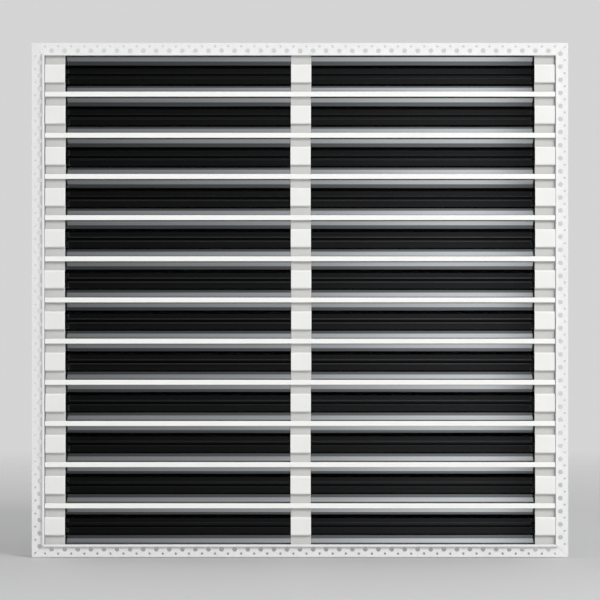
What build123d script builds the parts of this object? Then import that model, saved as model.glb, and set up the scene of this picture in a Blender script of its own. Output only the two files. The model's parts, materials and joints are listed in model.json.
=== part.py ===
from build123d import *
from math import asin, ceil, cos, degrees, floor, radians, sin, sqrt, tan
import os

# Plaster-in linear slot grille: a mitred frame with a perforated plaster flange, T-bars held at
# their pitch by tubes on three tie rods, and in every slot a pivot rail with four swinging blades.
# X runs along the bars, +Z is up and the room side faces -Y. The origin is the centre of the
# opening, on the plane where the back of the flange lies on the wall. Lengths are millimetres.

# Opening and bars
opening_width = 508.0       # between the lips of the left and right rails
slot_count = 12
slot_height = 36.0          # clear height of one slot, between two bar faces
bar_face = 4.9              # height of the face of a bar
bar_face_thickness = 2.0
bar_end_gap = 0.6           # bar end to the lip of a side rail
edge_round = 0.4            # front edges of the bars and the lips
wall_set_back = 1.3         # edge of a slot to the web or the neck wall beside it

# Frame rails
lip_width = 2.2
lip_stand = 3.2             # how far the lip stands in front of the flange
flange_width = 10.5
mitre_gap = 0.1             # cut end of a rail to the true mitre plane
flange_thickness = 1.4
neck_wall = 1.2
neck_past_bars = 10.6       # back edges of the bars to the back edge of the neck

# Perforations of the flange
hole_pitch = 13.0
big_hole_radius = 2.35
big_hole_row = 2.7          # lip to the centres of the big holes
small_hole_radius = 1.15
small_hole_row = 7.0
side_first_hole = 4.2       # cut end of a side rail to its first small hole

# Tie rods, tubes and nuts
rod_inset = 10.6            # lip of a side rail to the centre of the rod beside it
middle_rod_x = 0.9
rod_radius = 2.0
rod_clearance = 0.15
rod_edge = 4.5              # centre of a rod to the back edge of a bar
rod_end = 0.5               # stands out of its nut
tube_radius = 3.5
tube_clearance = 0.15
tube_gap = 0.34             # channels of the pivot rails to the tubes
nut_flats = 7.0
nut_height = 2.2
nut_flange_radius = 4.5
nut_flange_thickness = 0.8
thread_clearance = 0.03

# Slot spacers
spacer_width = 20.0
spacer_wall = 1.2
spacer_face = 18.5          # height of the flat front face
spacer_step_back = 0.3      # behind the faces of the bars
wing_step_back = 4.0        # front of the wings, behind the faces of the bars
spacer_foot_gap = 2.9       # ends of the feet to the shoulders of the blades
spacer_play = 0.4           # how unevenly the spacers sit along the bars
spacer_bend = 0.5           # inner radius of its bends

# Pivot rails
pivot_spacing = 3.2         # between the two pivot lines of a slot
pivot_drop = 0.5            # centre of a slot down to the middle of its pivot rail
pivot_depth = 25.8          # faces of the bars to the pivot lines
channel_wall = 0.9
pivot_clearance = 0.06
pivot_web = 2.0
pivot_web_edge = 4.0        # centre of a rod to the back edge of the web
nose_depth = 10.5           # faces of the bars to the front of the nose
nose_height = 3.4
nose_lip = 1.2              # thickness of the front of the nose
nose_web = 1.3
nose_round = 0.3

# Blades
bead_radius = 0.9
blade_wall = 1.0
shoulder_depth = 13.3       # faces of the bars to the front of the shoulder, at its hem
shoulder_fall = 1.7         # how much deeper the shoulder lies at its inner corner
upper_shoulder = 4.5        # slot edge to the inner corner of the shoulder, upper blades
upper_recess = 10.8         # slot edge to the start of the recessed leaf, upper blades
lower_shoulder = 4.7
lower_recess = 8.4
slope_angle = 28.0          # tilt of the slope between the shoulder and the step back to the leaf
blade_web_gap = 0.4         # edge of the blade to the web or wall beside it
blade_hem = 2.0             # turned-back edge of the shoulder
blade_bend = 0.3            # inner radius of its bends
blade_end_gap = 2.9         # blade to the neck wall at the side
blade_middle_gap = 1.0      # between the left and the right blade
blade_swing = 28.0          # degrees, used for the mouth of the channel
mouth_margin = 5.0          # degrees of room past each end of the swing

# Corner angles and rivets
angle_leg = 20.0
angle_wall = 2.0
angle_width = 8.0
angle_gap = 1.1             # back edges of the bars to the angles
rivet_from_corner = 12.0
rivet_radius = 1.6
rivet_clearance = 0.05
rivet_head_radius = 3.0
rivet_head_height = 1.0
rivet_tail_radius = 2.3
rivet_tail_height = 1.2

# Derived places: y runs from the room into the wall
face_y = -(flange_thickness + lip_stand)
lip_back_y = face_y + bar_face_thickness
shoulder_front_y = face_y + shoulder_depth
nose_front_y = face_y + nose_depth
pivot_y = face_y + pivot_depth
channel_bore = bead_radius + pivot_clearance
rod_y = pivot_y + channel_bore + channel_wall + tube_gap + tube_radius
bar_back_y = rod_y + rod_edge
neck_depth = bar_back_y + neck_past_bars
angle_y = (bar_back_y + angle_gap, bar_back_y + angle_gap + angle_width)
rivet_y = sum(angle_y) / 2
slot_pitch = slot_height + bar_face
opening_height = slot_count * slot_height + (slot_count - 1) * bar_face
half_width = opening_width / 2
half_height = opening_height / 2
rail_face = lip_width + flange_width
bar_web = bar_face - 2 * wall_set_back
half_bay = slot_height / 2 + wall_set_back      # slot centre to the web or wall beside it
bar_half_length = half_width - bar_end_gap
rod_places = (-(half_width - rod_inset), middle_rod_x, half_width - rod_inset)
slot_centres = [half_height - slot_height / 2 - slot_pitch * i for i in range(slot_count)]
bar_centres = [z - slot_pitch / 2 for z in slot_centres[:-1]]
rod_hole_radius = rod_radius + rod_clearance


def extrude_x(sketch, start, end):
    """Extrude a (y, z) sketch along X."""
    return Pos(start, 0, 0) * extrude(Plane.YZ * sketch, amount=end - start, dir=(1, 0, 0))


def block(x_range, y_range, z_range):
    """A box given by its lowest and highest x, y and z."""
    ranges = (x_range, y_range, z_range)
    return Pos(*(sum(r) / 2 for r in ranges)) * Box(*(r[1] - r[0] for r in ranges))


def rod_along_z(radius, x, y, z_from, z_to):
    standing = (Align.CENTER, Align.CENTER, Align.MIN)
    return Pos(x, y, z_from) * Cylinder(radius, z_to - z_from, align=standing)


def row_places(phase, limit):
    """Places at the hole pitch, one of them at phase, that lie within +-limit."""
    first = ceil((-limit - phase) / hole_pitch)
    last = floor((limit - phase) / hole_pitch)
    return [phase + hole_pitch * k for k in range(first, last + 1)]


def write(name, shape):
    solids = shape if isinstance(shape, list) else [shape]
    piece = solids[0] if len(solids) == 1 else Compound(children=solids)
    piece.label = name
    export_step(piece, f"parts/{name}.step")


# ---- Frame rails: each is drawn as the top rail, and then turned about Y to its side

def rail_section(base):
    """Section of the frame stock, with the edge of the opening at z = base."""
    outline = Polygon(
        (face_y, base), (face_y, base + lip_width), (-flange_thickness, base + lip_width),
        (-flange_thickness, base + rail_face), (0, base + rail_face),
        (0, base + wall_set_back + neck_wall), (neck_depth, base + wall_set_back + neck_wall),
        (neck_depth, base + wall_set_back), (lip_back_y, base + wall_set_back), (lip_back_y, base),
        align=None)
    return fillet([v for v in outline.vertices() if v.X < face_y + 0.01], edge_round)


def mitre_block(half_along, base):
    """What the mitre cuts leave of a rail: a trapezoid in the plane of the flange."""
    reach = rail_face + 1
    half_along -= mitre_gap * sqrt(2)
    outline = Polygon((-half_along, base), (half_along, base),
                      (half_along + reach, base + reach), (-half_along - reach, base + reach), align=None)
    depth = neck_depth - face_y + 2
    return Pos(0, face_y - 1, 0) * extrude(Plane.XZ * outline, amount=depth, dir=(0, 1, 0))


def flange_holes(base, half_along, big_phase, small_phase):
    """Cutters for the two staggered rows of the flange."""
    cutters = []
    rows = ((big_hole_radius, big_hole_row, big_phase), (small_hole_radius, small_hole_row, small_phase))
    for radius, row, phase in rows:
        for x in row_places(phase, half_along + lip_width + row):
            cutters.append(Pos(x, -flange_thickness / 2, base + lip_width + row) * Rot(90, 0, 0)
                           * Cylinder(radius, flange_thickness + 2))
    return cutters


def frame_rail(half_along, base, big_phase, small_phase, rod_xs):
    """A top rail of the given half length (inside the lips), base being the edge of the opening."""
    half_stock = half_along + rail_face + 1
    rail = extrude_x(rail_section(base), -half_stock, half_stock)
    wall_from = base + wall_set_back
    rail -= flange_holes(base, half_along, big_phase, small_phase)
    for x in rod_xs:
        rail -= rod_along_z(rod_hole_radius, x, rod_y, wall_from - 1, wall_from + neck_wall + 1)
    rivet_x = half_along + wall_set_back - rivet_from_corner
    for x in (-rivet_x, rivet_x):
        rail -= rod_along_z(rivet_radius + rivet_clearance, x, rivet_y, wall_from - 1,
                            wall_from + neck_wall + 1)
    return rail & mitre_block(half_along, base)


# ---- Corner angles and their rivets

def corner_signs():
    return [(sx, sz) for sz in (1, -1) for sx in (-1, 1)]


def corner_angle(sx, sz):
    """An angle in the corner of the neck, drilled for one rivet in each leg."""
    x_wall, z_wall = half_width + wall_set_back, half_height + wall_set_back
    legs = (block((x_wall - angle_leg, x_wall), angle_y, (z_wall - angle_wall, z_wall))
            + block((x_wall - angle_wall, x_wall), angle_y, (z_wall - angle_leg, z_wall)))
    drill = Cylinder(rivet_radius + rivet_clearance, 3 * angle_wall)
    legs -= Pos(x_wall - rivet_from_corner, rivet_y, z_wall) * drill
    legs -= Pos(x_wall, rivet_y, z_wall - rivet_from_corner) * Rot(0, 90, 0) * drill
    return place_in_corner(legs, sx, sz)


def place_in_corner(shape, sx, sz):
    if sx < 0:
        shape = mirror(shape, about=Plane.YZ)
    if sz < 0:
        shape = mirror(shape, about=Plane.XY)
    return shape


def rivet():
    """A blind rivet along Z: its head stands on z = 0 and its tail is below the two sheets."""
    grip = neck_wall + angle_wall
    cap_radius = (rivet_head_radius ** 2 + rivet_head_height ** 2) / (2 * rivet_head_height)
    above_sheet = Pos(0, 0, rivet_head_height) * Box(
        3 * rivet_head_radius, 3 * rivet_head_radius, 2 * rivet_head_height)
    head = Pos(0, 0, rivet_head_height - cap_radius) * Sphere(cap_radius) & above_sheet
    shank = rod_along_z(rivet_radius, 0, 0, -grip, rivet_head_height / 2)
    tail = rod_along_z(rivet_tail_radius, 0, 0, -grip - rivet_tail_height, -grip)
    tail = fillet(tail.edges().group_by(Axis.Z)[0], rivet_tail_height / 3)
    return head + shank + tail


def corner_rivets():
    pieces = []
    x_out = half_width + wall_set_back + neck_wall
    z_out = half_height + wall_set_back + neck_wall
    for sx, sz in corner_signs():
        top = Pos(x_out - neck_wall - rivet_from_corner, rivet_y, z_out) * rivet()
        side = Pos(x_out, rivet_y, z_out - neck_wall - rivet_from_corner) * Rot(0, 90, 0) * rivet()
        pieces += [place_in_corner(top, sx, sz), place_in_corner(side, sx, sz)]
    return pieces


# ---- T-bars and what holds them

def t_bar(z):
    face = Pos(face_y + bar_face_thickness / 2, 0) * Rectangle(bar_face_thickness, bar_face)
    face = fillet([v for v in face.vertices() if v.X < face_y + 0.01], edge_round)
    web_from = face_y + bar_face_thickness / 2
    web = Pos((web_from + bar_back_y) / 2, 0) * Rectangle(bar_back_y - web_from, bar_web)
    bar = extrude_x(face + web, -bar_half_length, bar_half_length)
    for x in rod_places:
        bar -= rod_along_z(rod_hole_radius, x, rod_y, -bar_web, bar_web)
    return Pos(0, 0, z) * bar


def tie_rod(x):
    end = half_height + wall_set_back + neck_wall + nut_flange_thickness + nut_height + rod_end
    rod = rod_along_z(rod_radius, x, rod_y, -end, end)
    return chamfer(rod.edges().filter_by(GeomType.CIRCLE), 0.3)


def flange_nut(x, side):
    seat = half_height + wall_set_back + neck_wall
    height = nut_flange_thickness + nut_height
    body = extrude(RegularPolygon(nut_flats / sqrt(3), 6), amount=height, dir=(0, 0, 1))
    nut = body + rod_along_z(nut_flange_radius, 0, 0, 0, nut_flange_thickness)
    nut -= rod_along_z(rod_radius + thread_clearance, 0, 0, -1, height + 1)
    nut = Pos(x, rod_y, seat) * nut
    return nut if side > 0 else mirror(nut, about=Plane.XY)


def spacer_tube(x, slot_z, side):
    """The tube between a web or wall and the pivot rail above or below it."""
    length = half_bay + side * pivot_drop - pivot_web / 2
    start = slot_z - pivot_drop + (pivot_web / 2 if side > 0 else -pivot_web / 2 - length)
    tube = rod_along_z(tube_radius, x, rod_y, start, start + length)
    return tube - rod_along_z(rod_radius + tube_clearance, x, rod_y, start - 1, start + length + 1)


def slot_spacer(x, z, count):
    """A hat section with its flat face to the room and its feet on the webs beside the slot."""
    face = face_y + spacer_step_back + spacer_wall / 2
    wing = face_y + wing_step_back + spacer_wall / 2
    foot = shoulder_front_y - spacer_foot_gap
    z_leg = (spacer_face - spacer_wall) / 2
    z_foot = half_bay - spacer_wall / 2
    half = [(foot, z_foot), (wing, z_foot), (wing, z_leg), (face, z_leg)]
    points = half + [(y, -z_side) for y, z_side in reversed(half)]
    hat = trace(FilletPolyline(*points, radius=spacer_bend + spacer_wall / 2), spacer_wall)
    shift = spacer_play * sin(2.4 * count)
    return Pos(x + shift, 0, z) * extrude_x(hat, -spacer_width / 2, spacer_width / 2)


# ---- Pivot rail and blades, drawn about the middle of their pivot rail

def channel_mouth():
    """Wedge that opens a channel for the leaf of the upper blade, over its whole swing."""
    half_leaf = degrees(asin(blade_wall / 2 / channel_bore))
    back = half_leaf + mouth_margin
    front = -(half_leaf + mouth_margin + blade_swing)
    reach = 3 * (bead_radius + channel_wall)
    edges = [(reach * sin(radians(a)), reach * cos(radians(a))) for a in (back, (back + front) / 2, front)]
    return Polygon((0, 0), *edges, align=None)


def pivot_nose():
    """The T that stands forward between the two blades: a thin web with a rounded lip."""
    lip = Pos(nose_front_y + nose_lip / 2, 0) * Rectangle(nose_lip, nose_height)
    lip = fillet([v for v in lip.vertices() if v.X < nose_front_y + 0.01], nose_round)
    return lip + Pos((nose_front_y + pivot_y) / 2, 0) * Rectangle(pivot_y - nose_front_y, nose_web)


def pivot_rail(z):
    back = rod_y + pivot_web_edge
    section = Pos((pivot_y + back) / 2, 0) * Rectangle(back - pivot_y, pivot_web) + pivot_nose()
    channel = Pos(pivot_y, pivot_spacing / 2) * Circle(channel_bore + channel_wall)
    cut = Pos(pivot_y, pivot_spacing / 2) * (Circle(channel_bore) + channel_mouth())
    section += [channel, mirror(channel, about=Plane.XZ)]
    section -= [cut, mirror(cut, about=Plane.XZ)]
    rail = extrude_x(section, -bar_half_length, bar_half_length)
    for x in rod_places:
        rail -= rod_along_z(rod_hole_radius, x, rod_y, -pivot_web, pivot_web)
    return Pos(0, 0, z - pivot_drop) * rail


def blade_section(z_edge, shoulder, recess):
    """Bead, leaf, step forward, slope, shoulder and turned-back hem; z_edge is the slot's edge."""
    z_pivot = pivot_spacing / 2
    shoulder_y = shoulder_front_y + blade_wall / 2
    z_hem = z_edge + wall_set_back - blade_web_gap - blade_wall / 2
    corner_y = shoulder_y + shoulder_fall
    step_y = corner_y + (recess - shoulder) * tan(radians(slope_angle))
    points = [(pivot_y, z_pivot), (pivot_y, z_edge - recess), (step_y, z_edge - recess),
              (corner_y, z_edge - shoulder), (shoulder_y, z_hem), (shoulder_y + blade_hem, z_hem)]
    section = trace(FilletPolyline(*points, radius=blade_bend + blade_wall / 2), blade_wall)
    return section + Pos(pivot_y, z_pivot) * Circle(bead_radius)


def blade(section, side, row, z):
    """One blade: side -1 is left and 1 right, row 1 is the upper one and -1 the lower."""
    outer = half_width + wall_set_back - blade_end_gap
    inner = middle_rod_x + side * blade_middle_gap / 2
    start, end = sorted((inner, side * outer))
    shape = extrude_x(section, start, end)
    if row < 0:
        shape = mirror(shape, about=Plane.XY)
    return Pos(0, 0, z - pivot_drop) * shape


def main():
    os.makedirs("parts", exist_ok=True)

    long_rail = frame_rail(half_width, half_height, 0, hole_pitch / 2, rod_places)
    write("frame_top_rail", long_rail)
    long_rail = frame_rail(half_width, half_height, 0, hole_pitch / 2, [-x for x in rod_places])
    write("frame_bottom_rail", Rot(0, 180, 0) * long_rail)
    first_small = side_first_hole - (half_height + rail_face)
    side_rail = frame_rail(half_height, half_width, first_small + hole_pitch / 2, first_small, ())
    write("frame_right_rail", Rot(0, 90, 0) * side_rail)
    write("frame_left_rail", Rot(0, -90, 0) * side_rail)
    write("corner_angles", [corner_angle(sx, sz) for sx, sz in corner_signs()])
    write("corner_rivets", corner_rivets())

    write("t_bars", [t_bar(z) for z in bar_centres])
    write("tie_rods", [tie_rod(x) for x in rod_places])
    write("tie_rod_nuts", [flange_nut(x, side) for x in rod_places for side in (1, -1)])
    write("spacer_tubes", [spacer_tube(x, z, side)
                           for x in rod_places for z in slot_centres for side in (1, -1)])
    spacer_places = [(x, z) for z in slot_centres for x in rod_places]
    write("slot_spacers", [slot_spacer(x, z, i) for i, (x, z) in enumerate(spacer_places)])

    write("pivot_rails", [pivot_rail(z) for z in slot_centres])
    upper = blade_section(slot_height / 2 + pivot_drop, upper_shoulder, upper_recess)
    lower = blade_section(slot_height / 2 - pivot_drop, lower_shoulder, lower_recess)
    for number, z in enumerate(slot_centres, start=1):
        for side, side_name in ((-1, "left"), (1, "right")):
            write(f"blade_{number:02d}_{side_name}_upper", blade(upper, side, 1, z))
            write(f"blade_{number:02d}_{side_name}_lower", blade(lower, side, -1, z))


main()
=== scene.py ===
import bmesh
import bpy
import json
from math import asin, atan2, ceil, cos, degrees, floor, pi, radians, sin, sqrt, tan
from mathutils import Matrix, Vector


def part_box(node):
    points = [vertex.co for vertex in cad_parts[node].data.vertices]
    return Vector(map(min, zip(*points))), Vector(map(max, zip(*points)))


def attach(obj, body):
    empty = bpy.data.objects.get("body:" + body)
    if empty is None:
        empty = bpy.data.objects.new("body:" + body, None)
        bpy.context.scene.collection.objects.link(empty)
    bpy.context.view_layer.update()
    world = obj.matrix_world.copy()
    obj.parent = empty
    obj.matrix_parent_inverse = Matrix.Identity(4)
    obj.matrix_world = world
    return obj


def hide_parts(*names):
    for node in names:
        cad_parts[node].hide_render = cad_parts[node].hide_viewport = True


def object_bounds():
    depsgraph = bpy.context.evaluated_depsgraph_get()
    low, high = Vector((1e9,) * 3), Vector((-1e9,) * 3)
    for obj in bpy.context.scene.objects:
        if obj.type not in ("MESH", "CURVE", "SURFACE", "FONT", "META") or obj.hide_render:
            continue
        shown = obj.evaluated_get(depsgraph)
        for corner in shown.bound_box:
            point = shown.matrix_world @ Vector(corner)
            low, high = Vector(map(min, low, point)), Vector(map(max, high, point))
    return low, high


# Plaster-in linear slot air grille. X runs along the bars, +Z is up, the room side faces -Y and the
# origin is the centre of the opening, on the back of the flange. Values are in millimetres; every
# mesh is brought to metres by to_metres() when it is finished.

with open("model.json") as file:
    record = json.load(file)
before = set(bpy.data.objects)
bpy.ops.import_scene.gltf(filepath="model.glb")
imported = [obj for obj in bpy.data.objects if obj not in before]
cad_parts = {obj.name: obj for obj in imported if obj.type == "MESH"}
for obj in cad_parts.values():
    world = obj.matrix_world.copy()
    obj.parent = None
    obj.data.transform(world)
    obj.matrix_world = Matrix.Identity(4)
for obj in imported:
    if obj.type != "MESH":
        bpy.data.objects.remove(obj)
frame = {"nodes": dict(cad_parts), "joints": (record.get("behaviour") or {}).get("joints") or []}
cad_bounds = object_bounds()

MM = 0.001


def node_range(node, axis):
    """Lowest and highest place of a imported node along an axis, in millimetres."""
    low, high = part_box(node)
    return low["xyz".index(axis)] / MM, high["xyz".index(axis)] / MM


# ---- Sizes: places come from the frame, the sections of the extrusions from these dimensions

slot_height = 36.0          # clear height of one slot
bar_face = 4.9
bar_face_thickness = 2.0
edge_round = 0.4            # front edges of the bars and the lips
wall_set_back = 1.3         # edge of a slot to the web or neck wall beside it
lip_width = 2.2
flange_width = 10.5
flange_thickness = 1.4
neck_wall = 1.2

hole_pitch = 13.0
big_hole_radius = 2.35
big_hole_row = 2.7          # lip to the centres of the big holes
small_hole_radius = 1.15
small_hole_row = 7.0
side_first_hole = 4.2       # cut end of a side rail to its first small hole

rod_radius = 2.0
rod_hole_radius = 2.15
tube_radius = 3.5
nut_flats = 7.0
nut_height = 2.2
nut_flange_radius = 4.5
nut_flange_thickness = 0.8
thread_pitch = 0.7
thread_depth = 0.3

spacer_width = 20.0
spacer_wall = 1.2
spacer_face = 18.5
spacer_step_back = 0.3
wing_step_back = 4.0
spacer_play = 0.4
spacer_bend = 0.5

pivot_spacing = 3.2
pivot_drop = 0.5
channel_bore = 0.96
channel_wall = 0.9
pivot_web = 2.0
pivot_web_edge = 4.0
nose_height = 3.4
nose_lip = 1.2
nose_web = 1.3
nose_round = 0.3

bead_radius = 0.9
blade_wall = 1.0
shoulder_depth = 13.3
shoulder_fall = 1.7
blade_web_gap = 0.4
blade_hem = 2.0
blade_bend = 0.3
blade_swing = 28.0
mouth_margin = 5.0
shoulders = {"upper": 4.5, "lower": 4.7}    # slot edge to the inner corner of the shoulder
recesses = {"upper": 10.8, "lower": 8.4}    # slot edge to the start of the recessed leaf
slope_angle = 28.0

rivet_radius = 1.6
rivet_head_radius = 3.0
rivet_head_height = 1.0
rivet_tail_radius = 2.3
rivet_tail_height = 1.2
rivet_from_corner = 12.0
rivet_hole_play = 0.05
rivet_stem_radius = 0.9
angle_wall = 2.0

# Details that only the finished meshes have
mitre_half_gap = 0.14
tube_chamfer = 0.25
rod_chamfer = 0.3
thread_run = 7.0
nut_bore_play = 0.03
painted_highlight_width = 0.7            # width of the painted highlight: a near-white band painted at the cut ends of the hats, standing in for light caught by their edges
wing_shade_depths = (1.6, 3.4)      # depths behind the bar faces over which the painted shade on the recessed wings of the hats fades in
wing_shade = 0.72            # painted shade: the colour of the recessed wings of the hats is darkened to this share, standing in for the shade they sit in

face_y = node_range("t_bars", "y")[0]
bar_back_y = node_range("t_bars", "y")[1]
bar_half_length = node_range("t_bars", "x")[1]
neck_depth = node_range("frame_top_rail", "y")[1]
rod_y = sum(node_range("tie_rods", "y")) / 2
rivet_y = sum(node_range("corner_rivets", "y")) / 2
rail_face = lip_width + flange_width
half_width = node_range("frame_right_rail", "x")[1] - rail_face
half_height = node_range("frame_top_rail", "z")[1] - rail_face
slot_pitch = slot_height + bar_face
slot_count = round((2 * half_height + bar_face) / slot_pitch)
slot_centres = [half_height - slot_height / 2 - slot_pitch * i for i in range(slot_count)]
half_bay = slot_height / 2 + wall_set_back
bar_web = bar_face - 2 * wall_set_back
pivot_y = frame["joints"][0]["pos_m"][1] / MM
nose_front_y = node_range("pivot_rails", "y")[0]
shoulder_front_y = face_y + shoulder_depth
side_rod_x = node_range("tie_rods", "x")[1] - rod_radius
middle_rod_x = (node_range("blade_01_right_lower", "x")[0] + node_range("blade_01_left_lower", "x")[1]) / 2
rod_places = (-side_rod_x, middle_rod_x, side_rod_x)
rod_half_length = node_range("tie_rods", "z")[1]


# ---- Node trees

class Tree:
    """A node tree that is written as a chain of calls; each call returns an output socket."""

    def __init__(self, tree):
        self.tree = tree

    def add(self, kind, inputs=None, out=0, **settings):
        node = self.tree.nodes.new(kind)
        for name, value in settings.items():
            setattr(node, name, value)
        for key, value in (inputs or {}).items():
            if isinstance(value, bpy.types.NodeSocket):
                self.tree.links.new(value, node.inputs[key])
            else:
                node.inputs[key].default_value = value
        return node.outputs[out] if out is not None else node

    def math(self, operation, first, second=0.0, third=0.0):
        kind = "ShaderNodeMath"
        return self.add(kind, {0: first, 1: second, 2: third}, operation=operation)

    def xyz(self, x=0.0, y=0.0, z=0.0):
        return self.add("ShaderNodeCombineXYZ", {0: x, 1: y, 2: z})


class PieceTree(Tree):
    """A geometry node tree with named inputs, which ends in Realize Instances and Set Material."""

    def __init__(self, name, floats=(), whole_numbers=(), objects=()):
        super().__init__(bpy.data.node_groups.new(name, "GeometryNodeTree"))
        face = self.tree.interface
        face.new_socket("Geometry", in_out="INPUT", socket_type="NodeSocketGeometry")
        for kind, names in (("Float", floats), ("Int", whole_numbers), ("Object", objects),
                            ("Material", ("Finish",))):
            for label in names:
                face.new_socket(label, in_out="INPUT", socket_type="NodeSocket" + kind)
        face.new_socket("Geometry", in_out="OUTPUT", socket_type="NodeSocketGeometry")
        self.given = self.tree.nodes.new("NodeGroupInput").outputs

    def end(self, geometry):
        solid = self.add("GeometryNodeRealizeInstances", {0: geometry})
        painted = self.add("GeometryNodeSetMaterial", {"Geometry": solid, "Material": self.given["Finish"]})
        self.tree.links.new(painted, self.tree.nodes.new("NodeGroupOutput").inputs[0])
        return self

    def make(self, name, base, soften=0.0, **values):
        """Run the tree on a mesh and return what it makes as a plain mesh, its sharp edges softened."""
        carrier = bpy.data.objects.new(name, base)
        bpy.context.scene.collection.objects.link(carrier)
        modifier = carrier.modifiers.new("make", "NODES")
        modifier.node_group = self.tree
        for item in self.tree.interface.items_tree:
            if item.in_out == "INPUT" and item.name.replace(" ", "_") in values:
                modifier[item.identifier] = values[item.name.replace(" ", "_")]
        if soften:
            bevel = carrier.modifiers.new("soften", "BEVEL")
            bevel.width, bevel.segments = soften, 2
            bevel.limit_method, bevel.angle_limit = "ANGLE", radians(40)
        graph = bpy.context.evaluated_depsgraph_get()
        mesh = bpy.data.meshes.new_from_object(carrier.evaluated_get(graph))
        bpy.data.objects.remove(carrier)
        mesh.name = name
        return mesh


def flat_mesh(name, points):
    """A closed outline of (y, z) points as one face across X, which a tree then extrudes."""
    mesh = bpy.data.meshes.new(name)
    mesh.from_pydata([(0, y, z) for y, z in points], [], [range(len(points))])
    return mesh


def extruded(tree, section, length):
    """Nodes that extrude a flat section both ways along X, closed at both ends."""
    half = tree.math("MULTIPLY", length, 0.5)
    start = tree.add("GeometryNodeTransform", {"Geometry": section, "Translation": tree.xyz(
        tree.math("MULTIPLY", half, -1.0))})
    grown = tree.add("GeometryNodeExtrudeMesh", {"Mesh": start, "Offset": tree.xyz(1.0),
                                                 "Offset Scale": length, "Individual": False})
    near = tree.add("GeometryNodeFlipFaces", {0: start})
    both = tree.add("GeometryNodeJoinGeometry")
    join = both.node
    tree.tree.links.new(grown, join.inputs[0])
    tree.tree.links.new(near, join.inputs[0])
    return tree.add("GeometryNodeMergeByDistance", {"Geometry": both, "Distance": 0.001})


def column_tree():
    """A length of extrusion, repeated down a column: bars, pivot rails and blades."""
    tree = PieceTree("extruded column", ("Length", "Middle", "Top", "Pitch"), ("Count",))
    given = tree.given
    piece = extruded(tree, given["Geometry"], given["Length"])
    places = tree.add("GeometryNodeMeshLine", {
        "Count": given["Count"], "Start Location": tree.xyz(given["Middle"], 0.0, given["Top"]),
        "Offset": tree.xyz(0.0, 0.0, tree.math("MULTIPLY", given["Pitch"], -1.0))})
    column = tree.add("GeometryNodeInstanceOnPoints", {"Points": places, "Instance": piece})
    return tree.end(column)


def drilled_row(tree, first, pitch, count, y, z, radius, depth, turn):
    """Nodes for a row of cutters along X."""
    places = tree.add("GeometryNodeMeshLine", {
        "Count": count, "Start Location": tree.xyz(first, y, z), "Offset": tree.xyz(pitch)})
    cutter = tree.add("GeometryNodeMeshCylinder", {"Vertices": 24, "Radius": radius, "Depth": depth})
    return tree.add("GeometryNodeInstanceOnPoints", {
        "Points": places, "Instance": cutter, "Rotation": (turn, 0.0, 0.0)})


def rail_tree():
    """A mitred frame rail with two rows of holes in its flange and its own drillings in the neck."""
    tree = PieceTree("perforated rail", (
        "Half Length", "Edge", "Mitre Gap", "Hole Pitch", "Big Radius", "Big Row", "Big First",
        "Small Radius", "Small Row", "Small First", "Rod Place", "Middle Rod Place", "Rod Radius", "Rod Y",
        "Rivet Place", "Rivet Radius", "Rivet Y"), ("Big Count", "Small Count", "Rod Count"))
    given = tree.given
    length = tree.math("MULTIPLY", given["Half Length"], 2.0)
    stock = extruded(tree, given["Geometry"], length)
    split = tree.add("ShaderNodeSeparateXYZ", {0: tree.add("GeometryNodeInputPosition")}, out=None)
    rise = tree.math("SUBTRACT", tree.math("SUBTRACT", split.outputs[2], given["Edge"]), given["Mitre Gap"])
    lean = tree.math("MULTIPLY", tree.math("SIGN", split.outputs[0]), rise)
    mitred = tree.add("GeometryNodeSetPosition", {"Geometry": stock, "Offset": tree.xyz(lean)})

    quarter = pi / 2
    in_flange = -flange_thickness / 2
    in_neck = tree.math("ADD", given["Edge"], wall_set_back + neck_wall / 2)
    rows = [
        drilled_row(tree, given["Big First"], given["Hole Pitch"], given["Big Count"], in_flange,
                    tree.math("ADD", given["Edge"], given["Big Row"]), given["Big Radius"],
                    2 * flange_thickness, quarter),
        drilled_row(tree, given["Small First"], given["Hole Pitch"], given["Small Count"], in_flange,
                    tree.math("ADD", given["Edge"], given["Small Row"]), given["Small Radius"],
                    2 * flange_thickness, quarter),
        drilled_row(tree, tree.math("MULTIPLY", given["Rod Place"], -1.0),
                    tree.math("MULTIPLY", given["Rod Place"], 2.0), given["Rod Count"], given["Rod Y"],
                    in_neck, given["Rod Radius"], 2 * neck_wall, 0.0),
        drilled_row(tree, given["Middle Rod Place"], 0.0, tree.math("MULTIPLY", given["Rod Count"], 0.5),
                    given["Rod Y"], in_neck, given["Rod Radius"], 2 * neck_wall, 0.0),
        drilled_row(tree, tree.math("MULTIPLY", given["Rivet Place"], -1.0),
                    tree.math("MULTIPLY", given["Rivet Place"], 2.0), 2, given["Rivet Y"],
                    in_neck, given["Rivet Radius"], 2 * neck_wall, 0.0)]
    cut = tree.add("GeometryNodeMeshBoolean", {"Mesh 1": mitred}, operation="DIFFERENCE", solver="EXACT")
    for row in rows:
        tree.tree.links.new(tree.add("GeometryNodeRealizeInstances", {0: row}), cut.node.inputs["Mesh 2"])
    return tree.end(cut)


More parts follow.
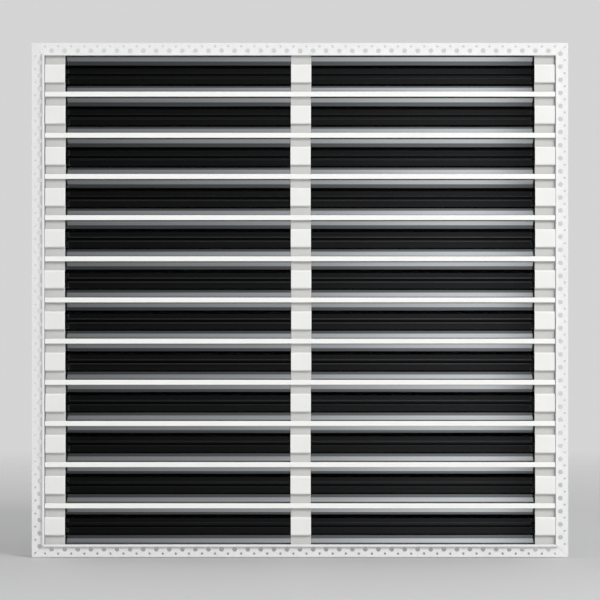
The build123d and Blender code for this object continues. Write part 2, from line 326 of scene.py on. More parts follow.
def spacer_tree():
    """Hat section spacers in three columns, each shifted a little along the bars."""
    tree = PieceTree("slot spacers", ("Width", "Rim", "Side Place", "Middle Place", "Top", "Pitch", "Play"),
                     ("Rows",))
    given = tree.given
    start = tree.add("GeometryNodeTransform", {"Geometry": given["Geometry"], "Translation": tree.xyz(
        tree.math("MULTIPLY", given["Width"], -0.5))})
    between = tree.math("SUBTRACT", given["Width"], tree.math("MULTIPLY", given["Rim"], 2.0))
    # The hat is extruded in three lengths, so that a band at each cut end can carry the painted highlight.
    parts, front = [tree.add("GeometryNodeFlipFaces", {0: start})], start
    for length in (given["Rim"], between, given["Rim"]):
        grown = tree.add("GeometryNodeExtrudeMesh", {"Mesh": front, "Offset": tree.xyz(1.0),
                                                     "Offset Scale": length, "Individual": False}, out=None)
        parted = tree.add("GeometryNodeSeparateGeometry", {"Geometry": grown.outputs["Mesh"],
                                                           "Selection": grown.outputs["Top"]},
                          out=None, domain="FACE")
        parts.append(parted.outputs["Inverted"])
        front = parted.outputs["Selection"]
    parts.append(front)
    joined = tree.add("GeometryNodeJoinGeometry")
    for part in parts:
        tree.tree.links.new(part, joined.node.inputs[0])
    shell = tree.add("GeometryNodeMergeByDistance", {"Geometry": joined, "Distance": 0.001})
    # Painted highlight: the points in the end bands are marked, and the coat there is painted near white to
    # stand in for light caught by the cut edges.
    x_place = tree.add("ShaderNodeSeparateXYZ", {0: tree.add("GeometryNodeInputPosition")})
    from_middle = tree.math("ABSOLUTE", x_place)
    inner = tree.math("SUBTRACT", tree.math("MULTIPLY", given["Width"], 0.5),
                      tree.math("MULTIPLY", given["Rim"], 0.5))
    rim = tree.math("GREATER_THAN", from_middle, inner)
    marked = tree.add("GeometryNodeStoreNamedAttribute", {"Geometry": shell, "Name": "rim", "Value": rim},
                      data_type="FLOAT", domain="POINT")

    number = tree.add("GeometryNodeInputIndex")
    row = tree.math("FLOOR", tree.math("DIVIDE", number, 3.0))
    column = tree.math("SUBTRACT", tree.math("SUBTRACT", number, tree.math("MULTIPLY", row, 3.0)), 1.0)
    in_middle = tree.math("SUBTRACT", 1.0, tree.math("ABSOLUTE", column))
    shift = tree.math("MULTIPLY", tree.math("SINE", tree.math("MULTIPLY", number, 2.4)), given["Play"])
    x = tree.math("ADD", tree.math("MULTIPLY", column, given["Side Place"]), shift)
    x = tree.math("ADD", x, tree.math("MULTIPLY", in_middle, given["Middle Place"]))
    z = tree.math("SUBTRACT", given["Top"], tree.math("MULTIPLY", row, given["Pitch"]))
    seats = tree.add("GeometryNodeMeshLine", {"Count": tree.math("MULTIPLY", given["Rows"], 3.0)})
    seats = tree.add("GeometryNodeSetPosition", {"Geometry": seats, "Position": tree.xyz(x, 0.0, z)})
    return tree.end(tree.add("GeometryNodeInstanceOnPoints", {"Points": seats, "Instance": marked}))


def seat_tree():
    """One small piece on every seat, turned so that its own Z follows the seat's axis."""
    tree = PieceTree("pieces on seats", objects=("Piece",))
    piece = tree.add("GeometryNodeObjectInfo", {"Object": tree.given["Piece"]}, out="Geometry")
    axis = tree.add("GeometryNodeInputNamedAttribute", {"Name": "axis"}, data_type="FLOAT_VECTOR")
    turn = tree.add("FunctionNodeAlignRotationToVector", {"Vector": axis}, axis="Z")
    return tree.end(tree.add("GeometryNodeInstanceOnPoints", {
        "Points": tree.given["Geometry"], "Instance": piece, "Rotation": turn}))


def nut_tree():
    """A chamfered hexagon on a round flange, with a plain bore."""
    tree = PieceTree("flanged nut", ("Across Flats", "Height", "Flange Radius", "Flange Thickness",
                                     "Bore Radius"))
    given = tree.given
    corner = tree.math("DIVIDE", given["Across Flats"], sqrt(3))
    total = tree.math("ADD", given["Height"], given["Flange Thickness"])
    middle = tree.math("MULTIPLY", total, 0.5)

    def standing(kind, sizes, z):
        solid = tree.add(kind, sizes)
        return tree.add("GeometryNodeTransform", {"Geometry": solid, "Translation": tree.xyz(0.0, 0.0, z)})

    hexagon = standing("GeometryNodeMeshCylinder", {
        "Vertices": 6, "Radius": corner, "Depth": total}, middle)
    crown = tree.add("GeometryNodeMeshCone", {
        "Vertices": 48, "Radius Top": tree.math("MULTIPLY", given["Across Flats"], 0.46),
        "Radius Bottom": tree.math("MULTIPLY", given["Across Flats"], 0.80), "Depth": total})
    flange = standing("GeometryNodeMeshCylinder", {
        "Vertices": 40, "Radius": given["Flange Radius"], "Depth": given["Flange Thickness"]},
        tree.math("MULTIPLY", given["Flange Thickness"], 0.5))
    bore = standing("GeometryNodeMeshCylinder", {
        "Vertices": 32, "Radius": given["Bore Radius"], "Depth": tree.math("MULTIPLY", total, 3.0)}, middle)

    def combine(operation, first, second):
        node = tree.add("GeometryNodeMeshBoolean", None, out=None, operation=operation, solver="EXACT")
        if operation == "DIFFERENCE":
            tree.tree.links.new(first, node.inputs["Mesh 1"])
        else:
            tree.tree.links.new(first, node.inputs["Mesh 2"])
        tree.tree.links.new(second, node.inputs["Mesh 2"])
        return node.outputs[0]

    head = combine("INTERSECT", hexagon, crown)
    return tree.end(combine("DIFFERENCE", combine("UNION", head, flange), bore))


def thread_tree():
    """A rolled thread: a pointed ridge that winds round a rod."""
    tree = PieceTree("rolled thread", ("Core Radius", "Depth", "Pitch", "Run", "From"))
    given = tree.given
    turns = tree.math("DIVIDE", given["Run"], given["Pitch"])
    helix = tree.add("GeometryNodeCurveSpiral", {
        "Resolution": 20, "Rotations": turns, "Start Radius": given["Core Radius"],
        "End Radius": given["Core Radius"], "Height": given["Run"]})
    ridge = tree.add("GeometryNodeCurvePrimitiveCircle", {"Resolution": 4, "Radius": given["Depth"]})
    wound = tree.add("GeometryNodeCurveToMesh", {"Curve": helix, "Profile Curve": ridge, "Fill Caps": True})
    placed = tree.add("GeometryNodeTransform", {"Geometry": wound,
                                                "Translation": tree.xyz(0.0, 0.0, given["From"])})
    both = tree.add("GeometryNodeJoinGeometry")
    other = tree.add("GeometryNodeTransform", {"Geometry": placed, "Rotation": (pi, 0.0, 0.0)})
    for end in (placed, other):
        tree.tree.links.new(end, both.node.inputs[0])
    return tree.end(both)


# ---- Outlines, as lists of (y, z)

def arc(centre, radius, start, end, steps=8):
    """Points of an arc, angles in degrees from +y towards +z."""
    angles = [radians(start + (end - start) * i / steps) for i in range(steps + 1)]
    return [(centre[0] + radius * cos(a), centre[1] + radius * sin(a)) for a in angles]


def bent_strip(corners, wall, radius, steps=6):
    """The two sides of a strip of sheet that follows a line with rounded corners."""
    line = [(Vector(corners[0]), (Vector(corners[1]) - Vector(corners[0])).normalized())]
    for before, corner, after in zip(corners, corners[1:], corners[2:]):
        come = (Vector(corner) - Vector(before)).normalized()
        go = (Vector(after) - Vector(corner)).normalized()
        turn = come.angle_signed(go) * -1
        side = 1 if turn > 0 else -1
        start = Vector(corner) - come * radius * tan(abs(turn) / 2)
        hub = start + Vector((-come.y, come.x)) * radius * side
        for i in range(steps + 1):
            spin = Matrix.Rotation(turn * i / steps, 2)
            line.append((hub + spin @ (start - hub), spin @ come))
    line.append((Vector(corners[-1]), (Vector(corners[-1]) - Vector(corners[-2])).normalized()))
    left = [tuple(p + Vector((-t.y, t.x)) * wall / 2) for p, t in line]
    right = [tuple(p - Vector((-t.y, t.x)) * wall / 2) for p, t in line]
    return left, right


def mirrored(points):
    return [(y, -z) for y, z in reversed(points)]


def rail_outline():
    """Section of the frame stock: lip, flange and neck, with the edge of the opening at half_height."""
    base, lip_back = half_height, face_y + bar_face_thickness
    lip_front = (arc((face_y + edge_round, base + edge_round), edge_round, -90, -180, 5)
                 + arc((face_y + edge_round, base + lip_width - edge_round), edge_round, 180, 90, 5))
    return lip_front + [
        (-flange_thickness, base + lip_width), (-flange_thickness, base + rail_face), (0, base + rail_face),
        (0, base + wall_set_back + neck_wall), (neck_depth, base + wall_set_back + neck_wall),
        (neck_depth, base + wall_set_back), (lip_back, base + wall_set_back), (lip_back, base)]


def bar_outline():
    half_face, half_web = bar_face / 2, bar_web / 2
    face_back = face_y + bar_face_thickness
    upper = arc((face_y + edge_round, half_face - edge_round), edge_round, 180, 90, 5) + [
        (face_back, half_face), (face_back, half_web), (bar_back_y, half_web)]
    return upper + mirrored(upper)


def spacer_outline():
    """Hat section: flat face, two legs, two wings, and feet on the webs beside the slot."""
    face = face_y + spacer_step_back + spacer_wall / 2
    wing = face_y + wing_step_back + spacer_wall / 2
    foot = node_range("slot_spacers", "y")[1]
    z_leg, z_foot = (spacer_face - spacer_wall) / 2, half_bay - spacer_wall / 2
    half = [(foot, z_foot), (wing, z_foot), (wing, z_leg), (face, z_leg)]
    left, right = bent_strip(half + mirrored(half), spacer_wall, spacer_bend + spacer_wall / 2)
    return left + right[::-1]


def pivot_rail_outline():
    """Two bead channels, one above the other, on the front edge of a web, with a T between them."""
    outer = channel_bore + channel_wall
    top = pivot_spacing / 2
    half_leaf = degrees(asin(blade_wall / 2 / channel_bore))
    back_lip = 90 - half_leaf - mouth_margin
    front_lip = 90 + half_leaf + mouth_margin + blade_swing
    drop = top - pivot_web / 2
    web_meets = -degrees(asin(drop / outer))
    nose_meets = 180 + degrees(asin((top - nose_web / 2) / outer))
    lip_back = nose_front_y + nose_lip
    lip_corner = (nose_front_y + nose_round, nose_height / 2 - nose_round)
    centre = (pivot_y, top)
    upper = ([(rod_y + pivot_web_edge, pivot_web / 2)]
             + arc(centre, outer, web_meets, back_lip)
             + arc(centre, channel_bore, back_lip, front_lip - 360, 20)
             + arc(centre, outer, front_lip, nose_meets)
             + [(lip_back, nose_web / 2), (lip_back, nose_height / 2)]
             + arc(lip_corner, nose_round, 90, 180, 4))
    return upper + mirrored(upper)


def blade_outline(row):
    """Bead, leaf, step forward, slope, shoulder and turned-back hem of an upper blade."""
    z_edge = slot_height / 2 + (pivot_drop if row == "upper" else -pivot_drop)
    z_pivot = pivot_spacing / 2
    shoulder_y = shoulder_front_y + blade_wall / 2
    z_hem = z_edge + wall_set_back - blade_web_gap - blade_wall / 2
    z_step, z_corner = z_edge - recesses[row], z_edge - shoulders[row]
    corner_y = shoulder_y + shoulder_fall
    step_y = corner_y + (z_corner - z_step) * tan(radians(slope_angle))
    corners = [(pivot_y, z_pivot), (pivot_y, z_step), (step_y, z_step), (corner_y, z_corner),
               (shoulder_y, z_hem), (shoulder_y + blade_hem, z_hem)]
    left, right = bent_strip(corners, blade_wall, blade_bend + blade_wall / 2)
    meets = degrees(asin(blade_wall / 2 / bead_radius))
    bead = arc((pivot_y, z_pivot), bead_radius, 90 - meets, meets - 270, 20)
    return left[1:] + right[:0:-1] + bead


# ---- Finished pieces

def to_metres(mesh, place=Matrix.Identity(4)):
    mesh.transform(Matrix.Scale(MM, 4) @ place)


def flat_large_faces(mesh):
    """Let the large faces set the normals, so that they shade flat up to the softened edges."""
    carrier = bpy.data.objects.new("carrier", mesh)
    bpy.context.scene.collection.objects.link(carrier)
    carrier.modifiers.new("weigh", "WEIGHTED_NORMAL").keep_sharp = True
    weighed = carrier.evaluated_get(bpy.context.evaluated_depsgraph_get()).data
    normals = [Vector(corner.vector) for corner in weighed.corner_normals]
    bpy.data.objects.remove(carrier)
    mesh.normals_split_custom_set(normals)


def tidy_mesh(mesh):
    """Weld the mesh, turn its faces outwards and shade it smooth between sharp edges."""
    work = bmesh.new()
    work.from_mesh(mesh)
    bmesh.ops.remove_doubles(work, verts=work.verts, dist=0.002)
    bmesh.ops.recalc_face_normals(work, faces=work.faces)
    work.to_mesh(mesh)
    work.free()
    mesh.shade_smooth()
    mesh.set_sharp_from_angle(angle=radians(32))
    flat_large_faces(mesh)


def piece(name, mesh, material, slot, body="root", replaced=(), place=Matrix.Identity(4)):
    """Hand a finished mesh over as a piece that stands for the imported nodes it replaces."""
    to_metres(mesh, place)
    if not mesh.materials:
        mesh.materials.append(material)
    made = bpy.data.objects.new(name, mesh)
    bpy.context.scene.collection.objects.link(made)
    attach(made, body)
    if replaced:
        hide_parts(*replaced)
    return made


def turned(name, profile, segments):
    """A solid of revolution about Z from (radius, z) points: a line from axis to axis, or a ring."""
    mesh = bpy.data.meshes.new(name)
    work = bmesh.new()
    points = [work.verts.new((r, 0, z)) for r, z in profile]
    edges = [work.edges.new(pair) for pair in zip(points, points[1:])]
    bmesh.ops.spin(work, geom=points + edges, cent=(0, 0, 0), axis=(0, 0, 1), angle=2 * pi,
                   steps=segments, use_merge=True, use_duplicate=False)
    bmesh.ops.remove_doubles(work, verts=work.verts, dist=0.0005)
    bmesh.ops.recalc_face_normals(work, faces=work.faces)
    work.to_mesh(mesh)
    work.free()
    return mesh


def seats(name, places):
    """Seats for small pieces: a place and the axis of the piece that stands on it."""
    mesh = bpy.data.meshes.new(name)
    mesh.from_pydata([place for place, _ in places], [], [])
    axes = mesh.attributes.new("axis", "FLOAT_VECTOR", "POINT")
    for item, (_, axis) in zip(axes.data, places):
        item.vector = axis
    return mesh


def on_seats(tree, name, small_mesh, places, material):
    """A mesh with one small piece on each seat."""
    master = bpy.data.objects.new(name + "_master", small_mesh)
    bpy.context.scene.collection.objects.link(master)
    mesh = tree.make(name, seats(name, places), Piece=master, Finish=material)
    bpy.data.objects.remove(master)
    return mesh


def hole_row(phase, limit):
    """First place and number of the holes at the hole pitch within +-limit, one of them at phase."""
    first = ceil((-limit - phase) / hole_pitch)
    last = floor((limit - phase) / hole_pitch)
    return phase + hole_pitch * first, last - first + 1


def make_frame_rails(material):
    """Top, right, bottom and left rail: one tree, run for the long and for the side rails."""
    tree = rail_tree()
    side_phase = side_first_hole - (half_height + rail_face)
    rails = (("top", half_width, 0, hole_pitch / 2, 0, 2, middle_rod_x),
             ("right", half_height, side_phase + hole_pitch / 2, side_phase, 90, 0, 0),
             ("bottom", half_width, 0, hole_pitch / 2, 180, 2, -middle_rod_x),
             ("left", half_height, side_phase + hole_pitch / 2, side_phase, -90, 0, 0))
    for side, half_length, big_phase, small_phase, turn, rods, middle_x in rails:
        edge = half_height if rods else half_width
        big_first, big_count = hole_row(big_phase, half_length + lip_width + big_hole_row)
        small_first, small_count = hole_row(small_phase, half_length + lip_width + small_hole_row)
        outline = [(y, z + edge - half_height) for y, z in rail_outline()]
        mesh = tree.make(
            f"{side}_rail", flat_mesh("rail_stock", outline), soften=0.12, Finish=material,
            Half_Length=half_length, Edge=edge, Mitre_Gap=mitre_half_gap, Hole_Pitch=hole_pitch,
            Big_Radius=big_hole_radius, Big_Row=lip_width + big_hole_row, Big_First=big_first,
            Big_Count=big_count, Small_Radius=small_hole_radius, Small_Row=lip_width + small_hole_row,
            Small_First=small_first, Small_Count=small_count, Rod_Place=side_rod_x, Rod_Count=rods,
            Middle_Rod_Place=float(middle_x), Rod_Radius=rod_hole_radius, Rod_Y=rod_y,
            Rivet_Place=half_length + wall_set_back - rivet_from_corner,
            Rivet_Radius=rivet_radius + rivet_hole_play, Rivet_Y=rivet_y)
        tidy_mesh(mesh)
        piece(f"frame_rail_{side}", mesh, material, "frame_powder_coat",
              replaced=[f"frame_{side}_rail"], place=Matrix.Rotation(radians(turn), 4, "Y"))


def make_bars(column, material):
    mesh = column.make("bars", flat_mesh("bar_section", bar_outline()), soften=0.15, Finish=material,
                       Length=2 * bar_half_length, Middle=0.0, Top=slot_centres[0] - slot_pitch / 2,
                       Pitch=slot_pitch, Count=slot_count - 1)
    tidy_mesh(mesh)
    piece("slot_bars", mesh, material, "bar_powder_coat", replaced=["t_bars"])


def make_spacers(material):
    mesh = spacer_tree().make("spacers", flat_mesh("hat_section", spacer_outline()), soften=0.25,
                              Finish=material, Width=spacer_width, Rim=painted_highlight_width, Side_Place=side_rod_x,
                              Middle_Place=middle_rod_x, Top=slot_centres[0], Pitch=slot_pitch,
                              Play=spacer_play, Rows=slot_count)
    tidy_mesh(mesh)
    piece("hat_spacers", mesh, material, "spacer_powder_coat", replaced=["slot_spacers"])


def make_pivot_rails(column, material):
    mesh = column.make("pivots", flat_mesh("pivot_section", pivot_rail_outline()), soften=0.1,
                       Finish=material, Length=2 * bar_half_length, Middle=0.0,
                       Top=slot_centres[0] - pivot_drop, Pitch=slot_pitch, Count=slot_count)
    tidy_mesh(mesh)
    piece("bead_channels", mesh, material, "black_enamel_rail", replaced=["pivot_rails"])


def make_blades(column, material):
    """Every blade swings on its own, so each is a piece of its own on its own body."""
    for row in ("upper", "lower"):
        outline = blade_outline(row)
        if row == "lower":
            outline = mirrored(outline)
        for side in ("left", "right"):
            start, end = node_range(f"blade_01_{side}_{row}", "x")
            first = column.make("blade", flat_mesh("blade_section", outline), soften=0.12, Finish=material,
                                Length=end - start, Middle=(start + end) / 2, Top=0.0, Pitch=0.0, Count=1)
            tidy_mesh(first)
            for number, z in enumerate(slot_centres, start=1):
                node = f"blade_{number:02d}_{side}_{row}"
                piece(f"pattern_{node}", first.copy(), material, "black_enamel_blade", body=node,
                      replaced=[node], place=Matrix.Translation((0, 0, z - pivot_drop)))


def make_tie_rods(seat, material):
    """Plain rods with a rolled thread at both ends."""
    core, half, chamfer, run = rod_radius - thread_depth, rod_half_length, rod_chamfer, thread_run
    profile = [(0, -half), (core - chamfer, -half), (core, -half + chamfer), (core, -half + run),
               (rod_radius, -half + run + thread_depth)]
    profile += [(r, -z) for r, z in reversed(profile)]
    rod = turned("rod", profile, 24)
    threads = thread_tree().make("threads", bpy.data.meshes.new("no_mesh"), Finish=material,
                                 Core_Radius=core, Depth=thread_depth, Pitch=thread_pitch,
                                 Run=run - 2 * thread_pitch, From=half - run + thread_pitch)
    work = bmesh.new()
    for mesh in (rod, threads):
        work.from_mesh(mesh)
    work.to_mesh(rod)
    work.free()
    rod.materials.append(material)
    places = [((x, rod_y, 0), (0, 0, 1)) for x in rod_places]
    mesh = on_seats(seat, "rods", rod, places, material)
    tidy_mesh(mesh)
    piece("threaded_tie_rods", mesh, material, "zinc_plated_steel", replaced=["tie_rods"])


def make_nuts(seat, material):
    nut = nut_tree().make("nut", bpy.data.meshes.new("no_mesh"), soften=0.12, Finish=material,
                          Across_Flats=nut_flats, Height=nut_height, Flange_Radius=nut_flange_radius,
                          Flange_Thickness=nut_flange_thickness, Bore_Radius=rod_radius + nut_bore_play)
    on_neck = half_height + wall_set_back + neck_wall
    places = [((x, rod_y, side * on_neck), (0, 0, side)) for x in rod_places for side in (1, -1)]
    mesh = on_seats(seat, "nuts", nut, places, material)
    tidy_mesh(mesh)
    piece("flanged_nuts", mesh, material, "zinc_plated_steel", replaced=["tie_rod_nuts"])


def make_tubes(seat, material):
    """Sawn tubes with a small chamfer, a longer one above and a shorter one below each pivot rail."""
    bore, chamfer = rod_hole_radius, tube_chamfer
    meshes = []
    for side in (1, -1):
        length = half_bay + side * pivot_drop - pivot_web / 2
        ring = [(bore, 0), (tube_radius - chamfer, 0), (tube_radius, chamfer),
                (tube_radius, length - chamfer), (tube_radius - chamfer, length), (bore, length), (bore, 0)]
        start = pivot_web / 2 if side > 0 else -pivot_web / 2 - length
        places = [((x, rod_y, z - pivot_drop + start), (0, 0, 1)) for x in rod_places for z in slot_centres]
        meshes.append(on_seats(seat, "tubes", turned("tube", ring, 20), places, material))
    work = bmesh.new()
    for mesh in meshes:
        work.from_mesh(mesh)
    work.to_mesh(meshes[0])
    work.free()
    tidy_mesh(meshes[0])
    piece("sawn_tubes", meshes[0], material, "mill_aluminium", replaced=["spacer_tubes"])


def make_rivets(seat, material):
    """Blind rivets: a domed head with the broken stem down its hole, and a set tail inside."""
    cap = (rivet_head_radius ** 2 + rivet_head_height ** 2) / (2 * rivet_head_height)
    hub = rivet_head_height - cap
    stem, grip = rivet_stem_radius, neck_wall + angle_wall
    rim_angle = degrees(atan2(-hub, rivet_head_radius))
    stem_angle = degrees(atan2(sqrt(cap ** 2 - stem ** 2), stem))
    dome = [(cap * cos(a), hub + cap * sin(a)) for a in
            [radians(stem_angle + (rim_angle - stem_angle) * i / 6) for i in range(7)]]
    tail = -grip - rivet_tail_height
    profile = [(0, 0.25), (stem - 0.15, 0.25), (stem, 0.4)] + dome + [
        (rivet_radius, 0), (rivet_radius, -grip), (rivet_tail_radius, -grip),
        (rivet_tail_radius, tail + 0.4), (rivet_tail_radius - 0.4, tail + 0.05), (stem, tail), (0, tail)]
    x_wall, z_wall = half_width + wall_set_back, half_height + wall_set_back
    places = []
    for sx in (-1, 1):
        for sz in (-1, 1):
            on_long = (sx * (x_wall - rivet_from_corner), rivet_y, sz * (z_wall + neck_wall))
            on_side = (sx * (x_wall + neck_wall), rivet_y, sz * (z_wall - rivet_from_corner))
            places += [(on_long, (0, 0, sz)), (on_side, (sx, 0, 0))]
    mesh = on_seats(seat, "rivets", turned("rivet", profile, 24), places, material)
    tidy_mesh(mesh)
    piece("blind_rivets", mesh, material, "mill_aluminium", replaced=["corner_rivets"])


def make_corner_angles(material):
    """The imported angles, with the sawn edges softened."""
    mesh = frame["nodes"]["corner_angles"].data.copy()
    mesh.materials.clear()
    mesh.transform(Matrix.Scale(1 / MM, 4))
    work = bmesh.new()
    work.from_mesh(mesh)
    bmesh.ops.remove_doubles(work, verts=work.verts, dist=0.002)
    bmesh.ops.dissolve_limit(work, angle_limit=radians(2), verts=work.verts, edges=work.edges)
    sharp = [edge for edge in work.edges
             if len(edge.link_faces) == 2 and edge.calc_face_angle() > radians(40)]
    bmesh.ops.bevel(work, geom=sharp, offset=0.2, segments=2, profile=0.5, affect="EDGES")
    work.to_mesh(mesh)
    work.free()
    tidy_mesh(mesh)
    piece("sawn_corner_angles", mesh, material, "mill_aluminium", replaced=["corner_angles"])


# ---- Finishes

class Finish(Tree):
    """A material whose pattern reads Object coordinates."""

    def __init__(self, name, **constants):
        material = bpy.data.materials.new(name)
        material.use_nodes = True
        super().__init__(material.node_tree)
        self.material = material
        self.shader = material.node_tree.nodes["Principled BSDF"]
        for label, value in constants.items():
            self.shader.inputs[label.replace("_", " ")].default_value = value
        self.place = self.add("ShaderNodeTexCoord", out="Object")

    def noise(self, scale, stretch=(1, 1, 1), detail=2.0, roughness=0.5):
        """Noise from about 0.3 to 0.7; stretch below 1 draws it out along that axis."""
        spread = self.add("ShaderNodeMapping", {"Vector": self.place, "Scale": stretch})
        return self.add("ShaderNodeTexNoise", {"Vector": spread, "Scale": scale, "Detail": detail,
                                               "Roughness": roughness})

    def between(self, amount, low, high, from_low=0.3, from_high=0.7):
        return self.add("ShaderNodeMapRange", {"Value": amount, "To Min": low, "To Max": high,
                                               "From Min": from_low, "From Max": from_high})

    def mix(self, amount, first, second):
        node = self.add("ShaderNodeMix", None, out=None, data_type="RGBA")
        for key, value in ((0, amount), (6, first), (7, second)):
            if isinstance(value, bpy.types.NodeSocket):
                self.tree.links.new(value, node.inputs[key])
            else:
                node.inputs[key].default_value = value if key == 0 else (*value, 1.0)
        return node.outputs[2]

    def set(self, **sockets):
        for label, value in sockets.items():
            self.tree.links.new(value, self.shader.inputs[label.replace("_", " ")])

    def bump(self, height, strength, distance, under=None):
        inputs = {"Height": height, "Strength": strength, "Distance": distance}
        if under is not None:
            inputs["Normal"] = under
        return self.add("ShaderNodeBump", inputs)


def powder_coat(name, colour, shade, rim=False):
    """Satin white powder coat: fine orange peel, faint clouds in the colour, uneven gloss. For the hat
    spacers it also carries a painted highlight on the cut ends and painted shade on the recessed wings.
    """
    finish = Finish(name, Roughness=0.4, IOR=1.5)
    clouds = finish.noise(28.0, detail=3.0)
    specks = finish.noise(2600.0, detail=1.0)
    base = finish.mix(finish.between(clouds, 0.0, 1.0), shade, colour)
    base = finish.mix(finish.between(specks, 0.0, 0.25, 0.62, 0.75), base, tuple(0.86 * c for c in colour))
    if rim:
        # Painted highlight: the marked end bands are painted near white, standing in for light caught by
        # the cut edges of the hats.
        edge = finish.add("ShaderNodeAttribute", None, out="Fac", attribute_name="rim")
        base = finish.mix(finish.math("MULTIPLY", edge, 0.9), base, (0.97, 0.97, 0.96))
        # Painted shade: the coat darkens on the recessed wings behind the face, standing in for the shade
        # between the bars.
        depth = finish.add("ShaderNodeSeparateXYZ", {0: finish.place}, out="Y")
        starts, full = [MM * (face_y + behind) for behind in wing_shade_depths]
        wings = finish.between(depth, 0.0, 1.0, starts, full)
        base = finish.mix(wings, base, tuple(wing_shade * c for c in colour))
    peel = finish.noise(900.0, detail=2.0)
    dents = finish.noise(60.0, detail=1.0)
    normal = finish.bump(peel, 0.18, 0.0002, finish.bump(dents, 0.05, 0.002))
    finish.set(Base_Color=base, Roughness=finish.between(peel, 0.34, 0.46), Normal=normal)
    return finish.material


def black_enamel(name, colour, dust):
    """Glossy black enamel over an extrusion: die lines along X, thin dust, slow waves along the length."""
    finish = Finish(name, Metallic=1.0)
    lines = finish.noise(260.0, stretch=(0.01, 1.0, 1.0), detail=4.0, roughness=0.65)
    waves = finish.noise(7.0, stretch=(1.0, 4.0, 4.0), detail=1.0)
    grime = finish.noise(1400.0, detail=2.0)
    base = finish.mix(finish.between(lines, 0.0, 1.0), tuple(0.8 * c for c in colour), colour)
    base = finish.mix(finish.between(grime, 0.0, 0.5, 0.58, 0.8), base, dust)
    normal = finish.bump(lines, 0.06, 0.0004, finish.bump(waves, 0.05, 0.004))
    finish.set(Base_Color=base, Roughness=finish.between(lines, 0.05, 0.1), Normal=normal)
    return finish.material


def bare_metal(name, colour, stain, gloss, grain, stretch):
    """Bare or plated metal: drawn grain, faint stains and uneven gloss."""
    finish = Finish(name, Metallic=1.0)
    drawn = finish.noise(grain, stretch=stretch, detail=3.0, roughness=0.6)
    stains = finish.noise(45.0, detail=3.0)
    base = finish.mix(finish.between(stains, 0.0, 0.6, 0.45, 0.7), colour, stain)
    normal = finish.bump(drawn, 0.12, 0.0002)
    finish.set(Base_Color=base, Roughness=finish.between(drawn, *gloss), Normal=normal)
    return finish.material


# ---- Studio

def pale_floor():
    """A pale floor under the grille, which fades into the pale room around it."""
    mesh = bpy.data.meshes.new("floor")
    work = bmesh.new()
    bmesh.ops.create_circle(work, cap_ends=True, radius=2.4, segments=96)
    work.to_mesh(mesh)
    work.free()
    low = cad_bounds[0]
    mesh.transform(Matrix.Translation((0, 0, low.z - 0.0005)))
    floor_piece = bpy.data.objects.new("floor", mesh)
    bpy.context.scene.collection.objects.link(floor_piece)
    finish = Finish("pale_floor", Roughness=0.7)
    finish.shader.inputs["Base Color"].default_value = (0.50, 0.50, 0.50, 1.0)
    flat = finish.add("ShaderNodeMapping", {"Vector": finish.place, "Scale": (1, 1, 0)})
    reach = finish.add("ShaderNodeVectorMath", {0: flat}, out="Value", operation="LENGTH")
    finish.set(Alpha=finish.between(reach, 1.0, 0.0, 0.7, 2.2))
    mesh.materials.append(finish.material)
    floor_piece.visible_glossy = False


def room_light(room_strength=(1.72, 0.5), card_below=3.4, card_above=3.8, card_to=0.2, gradient_to=0.078,
               card_overhead=0.27, dark=0.035, seen_tone=0.66):
    """Pale for the camera. As a light: dark round the camera, and above and below it a pale card that
    brightens to the right and ends softly there."""
    world = bpy.data.worlds.new("pale_room")
    bpy.context.scene.world = world
    world.use_nodes = True
    room = Tree(world.node_tree)
    nodes = world.node_tree.nodes
    nodes.clear()
    way = room.add("ShaderNodeSeparateXYZ", {0: room.add("ShaderNodeTexCoord", out="Generated")}, out=None)
    x, y, z = way.outputs
    ahead = room.math("MULTIPLY", y, -1.0)
    clear = room.add("ShaderNodeMapRange", {"Value": ahead, "From Min": 0.88, "From Max": 0.93,
                                            "To Min": 1.0, "To Max": dark})
    across = room.add("ShaderNodeMapRange", {"Value": x, "From Min": -gradient_to, "From Max": gradient_to})
    card = room.add("ShaderNodeValToRGB", {"Fac": across}, out=None)
    ramp = card.color_ramp
    ramp.elements.remove(ramp.elements[1])
    for at, bright in ((0.0, 0.2), (0.5, 0.42), (0.92, 0.94), (1.0, 0.3)):
        stop = ramp.elements[0] if at == 0.0 else ramp.elements.new(at)
        stop.color = (0.98 * bright, bright, 1.02 * bright, 1.0)
    on_axis = room.math("LESS_THAN", room.math("ABSOLUTE", x), card_to)
    low_to_high = room.add("ShaderNodeMapRange", {"Value": z, "From Min": -0.4, "From Max": 0.4,
                                                  "To Min": card_below, "To Max": card_above})
    overhead = room.add("ShaderNodeMapRange", {"Value": ahead, "From Min": 0.64, "From Max": 0.71,
                                               "To Min": card_overhead, "To Max": 1.0})
    card_strength = room.math("MULTIPLY", low_to_high, overhead)
    facing = room.math("ABSOLUTE", ahead)
    grazing = room.add("ShaderNodeMapRange", {"Value": facing, "From Min": 0.0, "From Max": 0.6,
                                              "To Min": room_strength[0], "To Max": room_strength[1]})
    elsewhere = room.xyz(grazing, grazing, grazing)
    on_card = room.add("ShaderNodeVectorMath", {0: card.outputs[0], "Scale": card_strength},
                       operation="SCALE")
    shaped = room.add("ShaderNodeMix", {0: on_axis, 4: elsewhere, 5: on_card}, out=1, data_type="VECTOR")
    lit = room.add("ShaderNodeBackground", {"Color": shaped, "Strength": clear})
    seen = room.add("ShaderNodeBackground", {"Color": (seen_tone, seen_tone, seen_tone, 1.0),
                                             "Strength": 1.0})
    to_camera = room.add("ShaderNodeLightPath", out="Is Camera Ray")
    mixed = room.add("ShaderNodeMixShader", {0: to_camera, 1: lit, 2: seen})
    world.node_tree.links.new(mixed, nodes.new("ShaderNodeOutputWorld").inputs[0])


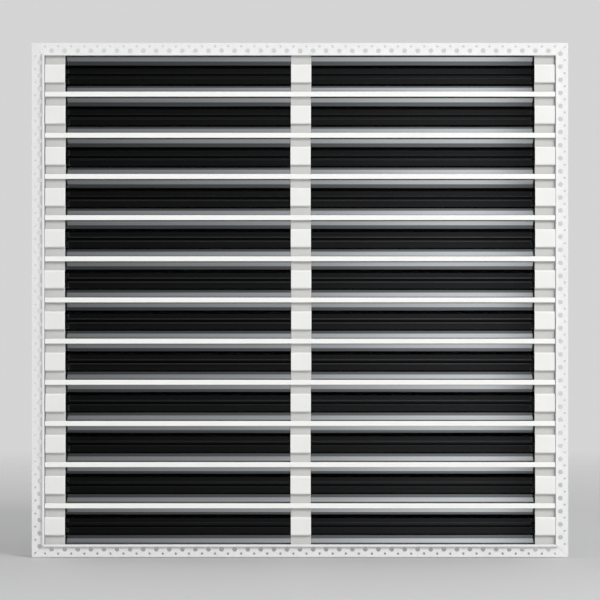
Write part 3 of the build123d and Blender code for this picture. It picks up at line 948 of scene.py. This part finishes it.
def soft_box(name, place, target, size, power, colour=(1, 1, 1)):
    lamp = bpy.data.lights.new(name, "AREA")
    lamp.shape, lamp.size, lamp.size_y, lamp.energy, lamp.color = "RECTANGLE", *size, power, colour
    holder = bpy.data.objects.new(name, lamp)
    holder.location = place
    holder.rotation_euler = (Vector(target) - Vector(place)).to_track_quat("-Z", "Y").to_euler()
    holder.visible_glossy = False
    bpy.context.scene.collection.objects.link(holder)


def front_camera():
    """Square in front of the grille, far enough for a long lens."""
    distance, view_width, sensor = 3.0, 0.596, 36.0
    lens = bpy.data.cameras.new("front_camera")
    lens.sensor_width, lens.lens = sensor, sensor * distance / view_width
    holder = bpy.data.objects.new("front_camera", lens)
    low, high = cad_bounds
    holder.location = ((low.x + high.x) / 2, low.y - distance, (low.z + high.z) / 2)
    holder.rotation_euler = (pi / 2, 0, 0)
    bpy.context.scene.collection.objects.link(holder)
    bpy.context.scene.camera = holder


def main():
    white_frame = powder_coat("frame_powder_coat", (0.795, 0.795, 0.795), (0.765, 0.765, 0.765))
    white_bars = powder_coat("bar_powder_coat", (0.89, 0.89, 0.87), (0.86, 0.86, 0.84))
    # The spacer coat carries a painted highlight on the cut ends and painted shade on the wings.
    white_spacers = powder_coat("spacer_powder_coat", (0.82, 0.82, 0.80), (0.78, 0.78, 0.77), rim=True)
    black_blades = black_enamel("black_enamel_blade", (0.20, 0.205, 0.21), (0.26, 0.25, 0.24))
    black_rails = black_enamel("black_enamel_rail", (0.07, 0.07, 0.07), (0.10, 0.095, 0.09))
    zinc = bare_metal("zinc_plated_steel", (0.66, 0.67, 0.69), (0.62, 0.61, 0.55), (0.22, 0.4),
                      900.0, (1, 1, 1))
    aluminium = bare_metal("mill_aluminium", (0.78, 0.78, 0.78), (0.68, 0.68, 0.68), (0.28, 0.42),
                           1500.0, (1, 0.05, 1))
    column, seat = column_tree(), seat_tree()
    make_frame_rails(white_frame)
    make_bars(column, white_bars)
    make_spacers(white_spacers)
    make_pivot_rails(column, black_rails)
    make_blades(column, black_blades)
    make_tie_rods(seat, zinc)
    make_nuts(seat, zinc)
    make_tubes(seat, aluminium)
    make_rivets(seat, aluminium)
    make_corner_angles(aluminium)
    pale_floor()
    room_light()
    soft_box("key_above", (1.3, -1.9, 1.3), (0, 0, 0), (0.9, 0.9), 39.0)
    soft_box("fill_below", (0.0, -1.5, -0.1), (0, 0, -0.1), (1.2, 0.25), 3.0)
    front_camera()
    bpy.context.scene.view_settings.view_transform = "Standard"


main()
